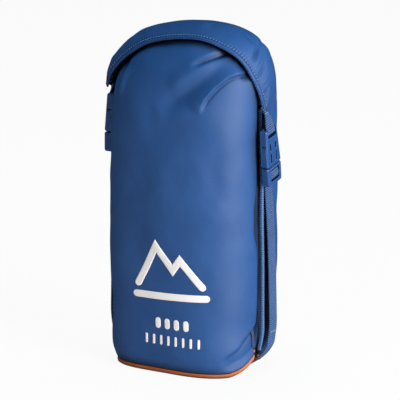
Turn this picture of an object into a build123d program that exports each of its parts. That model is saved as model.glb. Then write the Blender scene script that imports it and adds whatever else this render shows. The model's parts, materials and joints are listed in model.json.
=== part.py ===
"""A single-person bivy sack packed in its roll-top stow sack, standing upright.

Frame: origin at the middle of the base, on the ground. +Z up, -Y to the front, +X to the right.
The roll is held down by two side-release buckles on a webbing that runs under the base.
"""

import math
import os

from build123d import *

# ---- Driving dimensions, millimetres ----
HEIGHT = 240.0
BODY_W = 105.0
BODY_D = 81.0
BODY_CORNER = 28.0
WALL = 2.2
SHOULDER_Z = 150.0
SEAM_OFFSET = 3.0

BASE_T = 2.4
BASE_CORNER = 20.5
BASE_TIP_X = 50.0
BASE_TIP_RISE = 3.7

ROLL_SPAN = 121.0
ROLL_RISE = 50.0
ROLL_CORNER = 40.0
ROLL_T = 6.5
ROLL_FRONT = -18.0
ROLL_BACK = 12.0
ROLL_SKIN = 1.6
HEM_T = 1.2
HEM_W = 4.5
STITCH_L, STITCH_W, STITCH_T = 2.2, 0.5, 0.3
STITCH_COUNT = 46

WEB_W = 10.0
WEB_T = 1.2
WEB_X = 55.2
WEB_CORNER = 22.0
WEB_Y = 9.3

FIN_T = 2.4
FIN_X = 55.0
FIN_TOP = 186.0

BUCKLE_X = 58.4
BUCKLE_T = 5.6
SOCKET_L = 26.5
SOCKET_TOP_W = 14.4
BUCKLE_W = 18.4
PLUG_L = 13.5
PLUG_END_W = 16.8
PLUG_BAR_V = -5.9
# Side: outward sign, place of the buckle along Y and Z, and its lean in degrees.
SIDES = {"left": (-1, 6.3, 156.8, 4.0), "right": (1, 2.9, 146.6, 9.0)}

EMBLEM_X, EMBLEM_Z = 3.5, 74.0
EMBLEM_W, EMBLEM_H = 57.0, 41.0
PRINT_T = 0.25

TACK_L, TACK_W, TACK_T = 8.0, 1.6, 0.4

GAP = 0.3
BASE_ARC_X = BODY_W / 2 - BASE_CORNER + 1.2
ROLL_Z = HEIGHT - ROLL_RISE
SEAM_PLANE = Plane(
    origin=(0, 0, 0),
    x_dir=(BODY_W / 2, SEAM_OFFSET, 0),
    z_dir=(-SEAM_OFFSET, BODY_W / 2, 0),
)


def save(piece, label):
    """Name a finished piece and write it to its own file."""
    piece.part.label = label
    export_step(piece.part, f"parts/{label}.step")


# ---- Body of the sack: fabric panels ----
def sack_form(inset):
    """Filled sack: the plan, the front outline and the side outline, cut from one another."""
    roof = ROLL_T + GAP + inset
    with BuildPart() as form:
        with BuildSketch(Plane.XY):
            RectangleRounded(BODY_W - 2 * inset, BODY_D - 2 * inset, BODY_CORNER - inset)
        extrude(amount=HEIGHT)
        with BuildSketch(Plane.XZ):
            with Locations((0, ROLL_Z)):
                RectangleRounded(ROLL_SPAN - 2 * roof, 2 * (ROLL_RISE - roof), ROLL_CORNER - roof)
            with Locations((0, ROLL_Z / 2 - 5)):
                Rectangle(BODY_W, ROLL_Z + 10)
        extrude(amount=BODY_D, both=True, mode=Mode.INTERSECT)
        with BuildSketch(Plane.YZ):
            with BuildLine():
                front = -BODY_D / 2 + inset
                back = BODY_D / 2 - inset
                Polyline((back, SHOULDER_Z), (back, -1), (front, -1), (front, SHOULDER_Z))
                ThreePointArc((front, SHOULDER_Z), (front + 6, 200), (ROLL_FRONT + 4, HEIGHT - 4))
                Line((ROLL_FRONT + 4, HEIGHT - 4), (ROLL_BACK - 4, HEIGHT - 4))
                ThreePointArc((ROLL_BACK - 4, HEIGHT - 4), (back - 7, 200), (back, SHOULDER_Z))
            make_face()
        extrude(amount=BODY_W, both=True, mode=Mode.INTERSECT)
    return form.part


def base_line(radius, floor):
    """Half outline of the base: flat from the middle, an arc up, and its far end."""
    top = BASE_CORNER - math.sqrt(radius**2 - (BASE_TIP_X - BASE_ARC_X) ** 2)
    Line((0, floor), (BASE_ARC_X, floor))
    RadiusArc((BASE_ARC_X, floor), (BASE_TIP_X, top), -radius)
    return top


def above_base():
    """Everything over the base panel."""
    with BuildPart() as region:
        with BuildSketch(Plane.XZ):
            with BuildLine():
                top = base_line(BASE_CORNER - BASE_T, BASE_T)
                tip = (BASE_TIP_X + 10, top + BASE_TIP_RISE)
                Polyline((BASE_TIP_X, top), tip, (BASE_TIP_X + 10, HEIGHT), (0, HEIGHT), (0, BASE_T))
            make_face()
            mirror(about=Plane.YZ)
        extrude(amount=BODY_D, both=True)
    return region.part


def strap_groove(half_width, thick):
    """The webbing's way under the base and round its corners, as a solid of the given section."""
    with BuildPart() as way:
        for sign in (-1, 1):
            plane = Plane(origin=(0, sign * WEB_Y, 0), x_dir=(sign, 0, 0), z_dir=(0, -sign, 0))
            with BuildSketch(plane):
                with BuildLine():
                    arc_x = WEB_X - WEB_CORNER
                    inner = WEB_CORNER - thick
                    RadiusArc((arc_x, 0), (WEB_X, WEB_CORNER), -WEB_CORNER)
                    Line((WEB_X, WEB_CORNER), (WEB_X - thick, WEB_CORNER))
                    RadiusArc((WEB_X - thick, WEB_CORNER), (arc_x, WEB_CORNER - inner), inner)
                    Line((arc_x, WEB_CORNER - inner), (arc_x, 0))
                make_face()
            extrude(amount=half_width, both=True)
        with BuildSketch(Plane.XY):
            with BuildLine():
                Polyline(*under_strap_corners(half_width), close=True)
            make_face()
        extrude(amount=thick)
    return way.part


def under_strap_corners(half_width):
    """Corners of the skewed strip of webbing that crosses under the base."""
    end = WEB_X - WEB_CORNER
    return [
        (-end, -WEB_Y - half_width),
        (end, WEB_Y - half_width),
        (end, WEB_Y + half_width),
        (-end, -WEB_Y + half_width),
    ]


def panels():
    """Front and back panels: the sack's wall, parted along the side seams."""
    outer, inner, room = sack_form(0), sack_form(WALL), above_base()
    for label, keep in (("front_panel", Keep.BOTTOM), ("back_panel", Keep.TOP)):
        with BuildPart() as panel:
            add(outer)
            add(inner, mode=Mode.SUBTRACT)
            add(room, mode=Mode.INTERSECT)
            split(bisect_by=SEAM_PLANE, keep=keep)
        save(panel, label)


def base_panel():
    """Boat-shaped base: flat in the middle, its ends drawn up to the side seams."""
    groove = strap_groove(WEB_W / 2 + GAP, WEB_T + GAP)
    with BuildPart() as base:
        with BuildSketch(Plane.XZ):
            with BuildLine():
                top = base_line(BASE_CORNER - BASE_T, BASE_T)
                tip_x = BODY_W / 2
                tip_top = top + BASE_TIP_RISE * (tip_x - BASE_TIP_X) / 10
                tip_low = BASE_CORNER - math.sqrt(BASE_CORNER**2 - (tip_x - BASE_ARC_X) ** 2)
                Polyline((BASE_TIP_X, top), (tip_x, tip_top), (tip_x, tip_low))
                RadiusArc((tip_x, tip_low), (BASE_ARC_X, 0), BASE_CORNER)
                Polyline((BASE_ARC_X, 0), (0, 0), (0, BASE_T))
            make_face()
            mirror(about=Plane.YZ)
        extrude(amount=BODY_D, both=True)
        with BuildSketch(Plane.XY):
            RectangleRounded(BODY_W, BODY_D, BODY_CORNER)
        extrude(amount=HEIGHT / 4, mode=Mode.INTERSECT)
        add(groove, mode=Mode.SUBTRACT)
    save(base, "base_panel")


def base_seam_binding():
    """Tape that binds the raw edges of the base seam, inside the sack, along front and back."""
    tape_t, tape_h = 1.0, 5.0
    inset = WALL + 0.1
    with BuildPart() as tape:
        for sign in (-1, 1):
            with BuildSketch(Plane.XY.offset(BASE_T + 0.1)):
                with Locations((0, sign * (BODY_D / 2 - inset - tape_t / 2))):
                    Rectangle(BODY_W - 2 * BODY_CORNER, tape_t)
            extrude(amount=tape_h)
    save(tape, "base_seam_binding")


def seam_bindings():
    """Bound edges of the two side seams, standing out of the sack's sides as narrow fins."""
    foot = 16.0
    for side, (sign, *_) in SIDES.items():
        plane = Plane(origin=(0, sign * SEAM_OFFSET, 0), x_dir=(sign, 0, 0), z_dir=(0, -sign, 0))
        with BuildPart() as fin:
            with BuildSketch(plane):
                with BuildLine():
                    Polyline(
                        (BODY_W / 2, foot),
                        (FIN_X - 1, foot),
                        (FIN_X, foot + 3),
                        (FIN_X, FIN_TOP),
                        (BODY_W / 2, FIN_TOP),
                        close=True,
                    )
                make_face()
            extrude(amount=FIN_T / 2, both=True)
        save(fin, f"{side}_seam_binding")


# ---- Webbing that holds the roll down ----
def side_straps():
    """Webbing up each side: an arc round the base's corner, then straight up behind the buckle."""
    for side, (sign, _, buckle_z, _) in SIDES.items():
        plane = Plane(origin=(0, sign * WEB_Y, 0), x_dir=(sign, 0, 0), z_dir=(0, -sign, 0))
        arc_x, inner_x, top = WEB_X - WEB_CORNER, WEB_X - WEB_T, buckle_z - 2
        with BuildPart() as strap:
            with BuildSketch(plane):
                with BuildLine():
                    RadiusArc((arc_x, 0), (WEB_X, WEB_CORNER), -WEB_CORNER)
                    Polyline((WEB_X, WEB_CORNER), (WEB_X, top), (inner_x, top), (inner_x, WEB_CORNER))
                    RadiusArc((inner_x, WEB_CORNER), (arc_x, WEB_T), WEB_CORNER - WEB_T)
                    Line((arc_x, WEB_T), (arc_x, 0))
                make_face()
            extrude(amount=WEB_W / 2, both=True)
        save(strap, f"{side}_side_strap")


def under_strap():
    """The same webbing where it crosses under the base, on the skew."""
    with BuildPart() as strap:
        with BuildSketch(Plane.XY):
            with BuildLine():
                Polyline(*under_strap_corners(WEB_W / 2), close=True)
            make_face()
        extrude(amount=WEB_T)
    save(strap, "under_strap")


def strap_bartacks():
    """Dense stitched bars that fix the webbing to the base, one at each corner."""
    height = 27.0
    with BuildPart() as tacks:
        for sign in (-1, 1):
            plane = Plane(origin=(sign * WEB_X, sign * WEB_Y, height), x_dir=(0, 1, 0), z_dir=(sign, 0, 0))
            with BuildSketch(plane):
                Rectangle(TACK_L, TACK_W)
            extrude(amount=TACK_T)
    save(tacks, "strap_bartacks")


# ---- Buckles ----
def buckle_plane(side):
    """Buckle's own plane: x across the webbing, y up along it, z out of the sack."""
    sign, y, z, lean = SIDES[side]
    angle = math.radians(lean)
    across = (0, sign * math.cos(angle), math.sin(angle))
    return Plane(origin=(sign * BUCKLE_X, sign * y, z), x_dir=across, z_dir=(sign, 0, 0))


def edge_plane(plane):
    """Plane for a profile seen along the buckle's edge: x out of the sack, y up."""
    return Plane(origin=plane.origin, x_dir=plane.z_dir, z_dir=-plane.x_dir)


def rounded_block(plane, corners, thick, corner_r, chamfer_l):
    """Flat moulded block about the plane: an outline with round corners and eased rims."""
    with BuildPart() as block:
        with BuildSketch(plane.offset(-thick / 2)):
            with BuildLine():
                Polyline(*corners, close=True)
            make_face()
            fillet(vertices(), corner_r)
        extrude(amount=thick)
        rims = block.faces().sort_by(Axis(plane.origin, plane.z_dir))
        chamfer(rims[0].edges() + rims[-1].edges(), chamfer_l)
    return block.part


def buckle_socket(side):
    """Upper half of the buckle: hollow, with side windows for the prongs, slits over the pocket
    and a webbing slot whose bar is thinner than the rest."""
    plane = buckle_plane(side)
    pocket_w, pocket_l, pocket_t = 13.8, 17.0, 3.5
    slot_w, slot_l, slot_v = 11.4, 3.0, 21.9
    window_low, window_high = 7.9, 16.4
    slits, slit_w, slit_spacing = ((2.6, 9.8), (11.4, 16.8)), 2.2, 6.8
    bar_v, bar_l, bar_t = SOCKET_L - 1.2, 4.4, 2.8
    low, wide, narrow = GAP, BUCKLE_W / 2, SOCKET_TOP_W / 2
    corners = [(-wide, low), (wide, low), (narrow, SOCKET_L), (-narrow, SOCKET_L)]
    block = rounded_block(plane, corners, BUCKLE_T, 1.6, 0.7)
    with BuildPart() as socket:
        add(block)
        with BuildSketch(plane.offset(-pocket_t / 2)):
            with Locations((0, pocket_l / 2)):
                Rectangle(pocket_w, pocket_l)
            with Locations((0, (window_low + window_high) / 2)):
                Rectangle(BUCKLE_W + 2, window_high - window_low)
        extrude(amount=pocket_t, mode=Mode.SUBTRACT)
        with BuildSketch(plane.offset(-BUCKLE_T)):
            with Locations((0, slot_v)):
                Rectangle(slot_w, slot_l)
        extrude(amount=2 * BUCKLE_T, mode=Mode.SUBTRACT)
        with BuildSketch(plane):
            for slit_low, slit_high in slits:
                with Locations((0, (slit_low + slit_high) / 2)):
                    with GridLocations(slit_spacing, 1, 2, 1):
                        SlotOverall(slit_high - slit_low, slit_w, rotation=90)
        extrude(amount=BUCKLE_T, mode=Mode.SUBTRACT)
        thinning = (BUCKLE_T - bar_t) / 2
        for level in (-BUCKLE_T / 2, BUCKLE_T / 2 - thinning):
            with BuildSketch(plane.offset(level)):
                with Locations((0, bar_v)):
                    Rectangle(slot_w, bar_l)
            extrude(amount=thinning, mode=Mode.SUBTRACT)
    save(socket, f"{side}_buckle_socket")


def buckle_plug(side):
    """Lower half of the buckle: a webbing frame with a bar, and a guide tongue."""
    plane = buckle_plane(side)
    window_w, window_l, window_v = 11.6, 9.0, -6.1
    bar_l, bar_t, tongue_w, tongue_l = 3.0, 2.8, 3.0, 12.0
    wide, narrow = BUCKLE_W / 2, PLUG_END_W / 2
    corners = [(-wide, 0), (-narrow, -PLUG_L), (narrow, -PLUG_L), (wide, 0)]
    block = rounded_block(plane, corners, BUCKLE_T, 1.4, 0.7)
    with BuildPart() as plug:
        add(block)
        with BuildSketch(plane.offset(-BUCKLE_T)):
            with Locations((0, window_v)):
                Rectangle(window_w, window_l)
        extrude(amount=2 * BUCKLE_T, mode=Mode.SUBTRACT)
        with BuildSketch(plane.offset(-bar_t / 2)):
            with Locations((0, PLUG_BAR_V)):
                Rectangle(window_w + 1.4, bar_l)
            with Locations((0, tongue_l / 2 - 1)):
                Rectangle(tongue_w, tongue_l + 2)
        extrude(amount=bar_t)
    save(plug, f"{side}_buckle_plug")


def buckle_prong(side, end, sign):
    """Springy prong of the plug, with the barb that catches in the socket's window."""
    plane = buckle_plane(side)
    prong_t, leg_in, leg_out, barb_out, tip = 3.0, 4.4, 6.4, 9.0, 15.8
    outline = [
        (leg_in, GAP),
        (leg_out, GAP),
        (leg_out + 0.3, 8.2),
        (barb_out - 0.1, 8.4),
        (barb_out, 10.5),
        (leg_out + 1, tip - 0.6),
        (leg_in + 1.4, tip),
        (leg_in + 0.2, tip - 1.2),
    ]
    with BuildPart() as prong:
        with BuildSketch(plane.offset(-prong_t / 2)):
            with BuildLine():
                Polyline(*[(sign * u, v) for u, v in outline], close=True)
            make_face()
        extrude(amount=prong_t)
    save(prong, f"{side}_{end}_prong")


def strap_loop(side):
    """Webbing folded round the plug's bar."""
    outer_t, outer_l, corner, inner_t, inner_l = 5.2, 5.6, 1.2, 3.0, 3.2
    profile = edge_plane(buckle_plane(side))
    with BuildPart() as loop:
        with BuildSketch(profile):
            with Locations((0, PLUG_BAR_V)):
                RectangleRounded(outer_t, outer_l, corner)
                Rectangle(inner_t, inner_l, mode=Mode.SUBTRACT)
        extrude(amount=WEB_W / 2, both=True)
    save(loop, f"{side}_strap_loop")


def upper_strap(side):
    """Short webbing from the end of the roll to the socket, folded round the socket's bar."""
    fold_low, fold_high, fold_t, corner = 21.9, 28.0, 5.0, 1.1
    hole_v, hole_t, hole_l = 24.8, 2.9, 3.5
    _, _, buckle_z, lean = SIDES[side]
    profile = edge_plane(buckle_plane(side))
    top = (ROLL_Z - buckle_z) / math.cos(math.radians(lean)) - 1.0
    with BuildPart() as strap:
        with BuildSketch(profile):
            with Locations((0, (fold_low + fold_high) / 2)):
                RectangleRounded(fold_t, fold_high - fold_low, corner)
            with Locations((0, hole_v)):
                Rectangle(hole_t, hole_l, mode=Mode.SUBTRACT)
            with Locations((0, (fold_high + top) / 2 - 0.5)):
                Rectangle(2 * WEB_T, top - fold_high + 1)
        extrude(amount=WEB_W / 2, both=True)
    save(strap, f"{side}_upper_strap")


# ---- Rolled collar ----
def arch_band(low, high, front, back, foot):
    """Band bent over the sack's top: from low to high above the inner face, cut off at foot."""
    with BuildPart() as band:
        with BuildSketch(Plane.XZ.offset(-back)):
            for level, mode in ((high, Mode.ADD), (low, Mode.SUBTRACT)):
                inset = ROLL_T - level
                with Locations((0, ROLL_Z)):
                    RectangleRounded(
                        ROLL_SPAN - 2 * inset, 2 * (ROLL_RISE - inset), ROLL_CORNER - inset, mode=mode
                    )
            with Locations((0, foot - ROLL_RISE)):
                Rectangle(2 * ROLL_SPAN, 2 * ROLL_RISE, mode=Mode.SUBTRACT)
        extrude(amount=back - front)
    return band.part


def collar_roll():
    """Outer turn of the rolled collar: a closed fabric tube, flattened and bent over the top."""
    skin = ROLL_SKIN
    outside = arch_band(0, ROLL_T, ROLL_FRONT, ROLL_BACK, ROLL_Z)
    inside = arch_band(skin, ROLL_T - skin, ROLL_FRONT + skin, ROLL_BACK - skin, ROLL_Z + skin)
    with BuildPart() as roll:
        add(outside)
        add(inside, mode=Mode.SUBTRACT)
    save(roll, "collar_roll")


def collar_core():
    """Inner turns of the roll, wrapped round the mouth's stiffening tape."""
    skin = ROLL_SKIN + 0.1
    tape_t, edge, foot = 0.9, 4.0, ROLL_Z + 6
    middle = ROLL_T / 2
    turns = arch_band(skin, ROLL_T - skin, ROLL_FRONT + skin, ROLL_BACK - skin, ROLL_Z + skin)
    front, back = ROLL_FRONT + edge, ROLL_BACK - edge
    space = arch_band(middle - 0.6, middle + 0.6, front - 0.3, back + 0.3, foot - 0.3)
    with BuildPart() as core:
        add(turns)
        add(space, mode=Mode.SUBTRACT)
    save(core, "collar_inner_turns")
    with BuildPart() as tape:
        add(arch_band(middle - tape_t / 2, middle + tape_t / 2, front, back, foot))
    save(tape, "mouth_stiffener")


def collar_hem():
    """Turned and stitched edge of the collar, along the roll's lower front edge."""
    with BuildPart() as hem:
        add(arch_band(0, HEM_W, ROLL_FRONT - HEM_T, ROLL_FRONT, ROLL_Z))
    save(hem, "collar_hem")


def hem_stitching():
    """Row of stitches along the hem."""
    inset = ROLL_T - HEM_W / 2
    half, top, corner = ROLL_SPAN / 2 - inset, HEIGHT - inset, ROLL_CORNER - inset
    with BuildLine(Plane.XZ.offset(-ROLL_FRONT + HEM_T)) as row:
        FilletPolyline((-half, ROLL_Z + 2), (-half, top), (half, top), (half, ROLL_Z + 2), radius=corner)
    stitches = [row.wires()[0] ^ (i + 0.5) / STITCH_COUNT for i in range(STITCH_COUNT)]
    with BuildPart() as stitching:
        for place in stitches:
            with BuildSketch(Plane(origin=place.position, x_dir=place.z_axis.direction, z_dir=(0, -1, 0))):
                Rectangle(STITCH_L, STITCH_W)
            extrude(amount=STITCH_T)
    save(stitching, "hem_stitching")


def roll_end_bartacks():
    """Dense stitched bars where the upper straps enter the roll's ends."""
    forward, above = -4.0, 5.0
    with BuildPart() as tacks:
        for sign in (-1, 1):
            plane = Plane(
                origin=(sign * ROLL_SPAN / 2, forward, ROLL_Z + above), x_dir=(0, 1, 0), z_dir=(sign, 0, 0)
            )
            with BuildSketch(plane):
                Rectangle(TACK_L, TACK_W)
            extrude(amount=TACK_T)
    save(tacks, "roll_end_bartacks")


# ---- Print on the front ----
def print_layer(label, drawing):
    """Thin layer of ink on the front panel, where the drawn shape falls on it."""
    with BuildPart() as ink:
        with BuildSketch(Plane.XY):
            RectangleRounded(BODY_W + 2 * PRINT_T, BODY_D + 2 * PRINT_T, BODY_CORNER + PRINT_T)
            RectangleRounded(BODY_W, BODY_D, BODY_CORNER, mode=Mode.SUBTRACT)
        extrude(amount=SHOULDER_Z)
        extrude(drawing, amount=BODY_D, mode=Mode.INTERSECT)
    save(ink, label)


def emblem():
    """Two peaks over a ground line, in an even stroke."""
    stroke, ground_gap, inset = 5.0, 10.0, 4.0
    low, high = EMBLEM_Z - EMBLEM_H / 2, EMBLEM_Z + EMBLEM_H / 2
    left, right = EMBLEM_X - EMBLEM_W / 2, EMBLEM_X + EMBLEM_W / 2
    foot = low + ground_gap
    with BuildSketch(Plane.XZ) as drawing:
        with BuildLine():
            Polyline(
                (left + inset, foot),
                (left + 0.35 * EMBLEM_W, high - 4),
                (left + 0.55 * EMBLEM_W, foot + 12),
                (left + 0.65 * EMBLEM_W, high - 13),
                (right - inset, foot),
            )
        trace(line_width=stroke)
        with Locations((EMBLEM_X, low + stroke / 2)):
            SlotOverall(EMBLEM_W, stroke)
    return drawing.sketch


def bars():
    """A short thick row and a long thin row of plain bars."""
    rows = [
        # offset from the emblem, height, count, spacing, width, length, corner
        (2.1, 37.0, 4, 7.0, 5.4, 7.4, 1.2),
        (2.1, 25.0, 8, 5.6, 2.6, 7.0, 0.9),
    ]
    with BuildSketch(Plane.XZ) as drawing:
        for shift, level, count, spacing, width, length, corner in rows:
            with Locations((EMBLEM_X + shift, level)):
                with GridLocations(spacing, 1, count, 1):
                    RectangleRounded(width, length, corner)
    return drawing.sketch


# ---- Packed bivy inside ----
def packed_sheets():
    """Upper and floor sheets of the bivy, laid together and rolled into one flat-sided roll."""
    pitch, outer, straight, low, length = 5.6, 30.2, 12.0, 8.0, 182.0
    sheet_t = pitch / 2 - 0.2
    turns = 5
    with BuildLine() as spiral:
        for turn in range(turns):
            right = outer - turn * pitch
            left = right - pitch / 2
            after = right - pitch
            RadiusArc((straight, -right), (straight, right), -right)
            Line((straight, right), (-straight, right))
            RadiusArc((-straight, right), (-straight, pitch - right), -left)
            if turn < turns - 1:
                Line((-straight, -after), (straight, -after))
    for label, sign, shift in (("bivy_upper_sheet", 1, 0), ("bivy_floor_sheet", -1, pitch / 2)):
        plane = Plane(origin=(0, shift, low), x_dir=(sign, 0, 0), z_dir=(0, 0, 1))
        with BuildPart() as sheet:
            with BuildSketch(plane):
                trace(spiral.line, line_width=sheet_t)
            extrude(amount=length)
        save(sheet, label)


def main():
    """Make every piece."""
    os.makedirs("parts", exist_ok=True)
    panels()
    base_panel()
    base_seam_binding()
    seam_bindings()
    side_straps()
    under_strap()
    strap_bartacks()
    for side in SIDES:
        buckle_socket(side)
        buckle_plug(side)
        buckle_prong(side, "front", -1 if side == "right" else 1)
        buckle_prong(side, "rear", 1 if side == "right" else -1)
        strap_loop(side)
        upper_strap(side)
    collar_roll()
    collar_core()
    collar_hem()
    hem_stitching()
    roll_end_bartacks()
    print_layer("front_print_emblem", emblem())
    print_layer("front_print_bars", bars())
    packed_sheets()


main()
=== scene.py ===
"""Looks of a packed bivy sack: a blue roll-top stow sack with an orange base.

Lengths in the shape functions are millimetres in the CAD frame (+Z up, -Y front, +X right).
Every shape is worked out as whole arrays and scaled to metres when its mesh is made.
"""

import json
import math
from contextlib import contextmanager

import bmesh
import bpy
import numpy as np
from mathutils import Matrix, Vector


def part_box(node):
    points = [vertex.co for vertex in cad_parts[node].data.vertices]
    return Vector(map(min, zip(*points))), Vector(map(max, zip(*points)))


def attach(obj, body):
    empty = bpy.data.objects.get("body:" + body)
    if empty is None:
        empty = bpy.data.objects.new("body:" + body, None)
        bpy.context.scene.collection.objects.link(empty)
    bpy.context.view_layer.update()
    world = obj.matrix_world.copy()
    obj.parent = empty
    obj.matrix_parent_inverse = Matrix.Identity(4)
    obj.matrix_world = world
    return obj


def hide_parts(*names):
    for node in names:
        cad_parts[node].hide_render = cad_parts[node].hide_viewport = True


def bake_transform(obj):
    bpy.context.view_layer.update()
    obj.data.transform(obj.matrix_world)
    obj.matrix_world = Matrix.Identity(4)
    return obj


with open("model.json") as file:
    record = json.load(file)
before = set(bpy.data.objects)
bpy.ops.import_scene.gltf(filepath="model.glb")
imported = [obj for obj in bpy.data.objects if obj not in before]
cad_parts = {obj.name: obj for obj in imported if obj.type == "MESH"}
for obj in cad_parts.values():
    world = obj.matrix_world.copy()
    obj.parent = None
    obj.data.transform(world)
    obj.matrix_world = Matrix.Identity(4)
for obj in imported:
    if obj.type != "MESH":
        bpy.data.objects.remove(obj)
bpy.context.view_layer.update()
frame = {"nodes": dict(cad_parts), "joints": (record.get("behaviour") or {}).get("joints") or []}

MM = 0.001


def node_mm(name):
    """Lowest and highest corner of a CAD node, in millimetres."""
    low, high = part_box(name)
    return np.array(low) / MM, np.array(high) / MM


# Sack: half its width and depth, how much narrower its foot is, where its dome starts and the half
# depth left at its top.
HALF_W, HALF_D = 52.3, 40.5
TAPER = 1.6
DOME_Z = 132.0
TOP_Y = 8.0

# Edge of the base: its height at front and back, at the side seams, and how far from a seam it rises.
RIM_H = 3.2
TIP_Z = 15.4
TIP_SPAN = 28.0

# Back: where its wall turns over towards the crown, and the power of that turn.
SHOULDER = 158.0
SHOULDER_POWER = 2.15

# Long webbing: its width and thickness, how far it lies off the middle, and its turn under the
# base's corner. The short webbing and the loops are a little thinner.
WEB_W = 10.0
WEB_THICK = 1.2
LOOP_THICK = 1.1
WEB_Y = 9.3
CORNER_X = 35.6
CORNER_R = 19.0
CORNER_POWER = 1.5

# Stitches of the lip: how many, how far in, and the length, width and height of one; then those of
# the side seams, by their pitch.
STITCHES = 76
STITCH_IN = 2.5
HEM_STITCH = (1.35, 0.7, 0.45)
SEAM_PITCH = 2.6
SEAM_STITCH = (1.8, 0.8, 0.4)

# Width and height of a bartack at the roll's ends and on the long webbing.
ROLL_TACK = (3.6, 0.9)
WEB_TACK = (8.0, 1.3)

# Width and thickness of the lip's hem and of the base's seam tape.
HEM_BAND = (4.0, 1.3)
BASE_TAPE = (4.0, 0.7)

# How far the ink lies off the cloth's middle, and how thick it is.
INK_PROUD = 0.22
INK_THICK = 0.3

# Cloth thicknesses.
SHELL_THICK = 0.7
ROLL_THICK = 1.0
BIVY_THICK = 1.3

# Points along the tabled curves, and across the cloth.
CURVE_POINTS = 600
OUTLINE_POINTS = 1500
CLOTH_COLUMNS = 201
ROLL_COLUMNS = 361

# Seeds of the unevenness of the front and back cloth.
FRONT_SEED, BACK_SEED = 7, 11


# ---------------------------------------------------------------- mesh helpers
def clip01(value):
    return np.clip(value, 0.0, 1.0)


def smooth(value):
    """Soft step from 0 to 1."""
    t = clip01(value)
    return t * t * (3 - 2 * t)


def bell(value):
    """Gaussian hump of height 1 at 0."""
    return np.exp(-value * value)


def new_piece(name, points, faces, uvs=None):
    """Mesh object from points in millimetres, faces as lists of indices, and a map of the points."""
    mesh = bpy.data.meshes.new(name)
    mesh.from_pydata((np.reshape(points, (-1, 3)) * MM).tolist(), [], faces)
    if uvs is not None:
        corners = np.empty(len(mesh.loops), np.int32)
        mesh.loops.foreach_get("vertex_index", corners)
        layer = mesh.uv_layers.new(name="cloth")
        layer.data.foreach_set("uv", np.reshape(uvs, (-1, 2)).astype(np.float32)[corners].ravel())
    shade_smooth(mesh)
    mesh.update()
    piece = bpy.data.objects.new(name, mesh)
    bpy.context.scene.collection.objects.link(piece)
    return piece


def shade_smooth(mesh):
    """Shade every face smooth."""
    mesh.polygons.foreach_set("use_smooth", np.ones(len(mesh.polygons), bool))


def grid_faces(rows, cols, wrap_rows=False, wrap_cols=False):
    """Quads of a grid of rows by cols points, joined round where asked."""
    i = np.arange(rows if wrap_rows else rows - 1)
    j = np.arange(cols if wrap_cols else cols - 1)
    i, j = (a.ravel() for a in np.meshgrid(i, j, indexing="ij"))
    i2, j2 = (i + 1) % rows, (j + 1) % cols
    return np.stack([i * cols + j, i * cols + j2, i2 * cols + j2, i2 * cols + j], 1)


def grid_piece(name, points, uvs=None, flip=False, **wrap):
    """Surface over a grid of points (rows, cols, 3)."""
    faces = grid_faces(*points.shape[:2], **wrap)
    if flip:
        faces = faces[:, ::-1]
    return new_piece(name, points, faces.tolist(), uvs)


def tube_piece(name, centres, across, out, profile, closed=False):
    """Closed profile (a, b) carried along centres: a along the across vectors, b along the out vectors."""
    centres, across, out = (np.asarray(v, float) for v in (centres, across, out))
    rows, cols = len(centres), len(profile)
    points = (
        centres[:, None, :]
        + across[:, None, :] * profile[None, :, 0, None]
        + out[:, None, :] * profile[None, :, 1, None]
    )
    faces = grid_faces(rows, cols, wrap_rows=closed, wrap_cols=True).tolist()
    steps = np.linalg.norm(np.diff(centres, axis=0), axis=1)
    uvs = np.zeros((rows, cols, 2))
    uvs[..., 0] = profile[None, :, 0]
    uvs[..., 1] = np.concatenate([[0], np.cumsum(steps)])[:, None]
    if not closed:
        faces.append(list(range(cols))[::-1])
        faces.append([(rows - 1) * cols + c for c in range(cols)])
    piece = new_piece(name, points, faces, uvs)
    fix_normals(piece)
    return piece


@contextmanager
def edited(piece):
    """A piece's mesh opened for editing, and written back at the end."""
    work = bmesh.new()
    work.from_mesh(piece.data)
    yield work
    work.to_mesh(piece.data)
    work.free()


def fix_normals(piece):
    """Turn all faces of a closed mesh outwards."""
    with edited(piece) as work:
        bmesh.ops.recalc_face_normals(work, faces=work.faces)


def flat_band(width, thick, corner=3):
    """Profile of flat webbing: a flat loop with round edges."""
    r = thick / 2
    turn = np.linspace(-math.pi / 2, math.pi / 2, 2 * corner + 1)
    right = np.stack([width / 2 - r + r * np.cos(turn), r * np.sin(turn)], 1)
    inner = np.linspace(width / 2 - r, -width / 2 + r, 7)[1:-1]
    top = np.stack([inner, np.full(5, r)], 1)
    return np.concatenate([right, top, -right, -top])


def along(points, count):
    """Smooth curve of evenly spaced points through a few given ones (Catmull-Rom)."""
    p = np.asarray(points, float)
    p = np.concatenate([2 * p[:1] - p[1:2], p, 2 * p[-1:] - p[-2:-1]])
    t = np.linspace(0, 1, 24, endpoint=False)[:, None, None]
    a, b, c, d = p[:-3], p[1:-2], p[2:-1], p[3:]
    bend, twist = 2 * a - 5 * b + 4 * c - d, 3 * b - a - 3 * c + d
    dense = 0.5 * (2 * b + (c - a) * t + bend * t**2 + twist * t**3)
    dense = np.concatenate([dense.transpose(1, 0, 2).reshape(-1, p.shape[1]), p[-2:-1]])
    length = np.concatenate([[0], np.cumsum(np.linalg.norm(np.diff(dense, axis=0), axis=1))])
    even = np.linspace(0, length[-1], count)
    return np.stack([np.interp(even, length, dense[:, k]) for k in range(p.shape[1])], 1)


def unit(v):
    return v / np.maximum(np.linalg.norm(v, axis=-1, keepdims=True), 1e-9)


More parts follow.
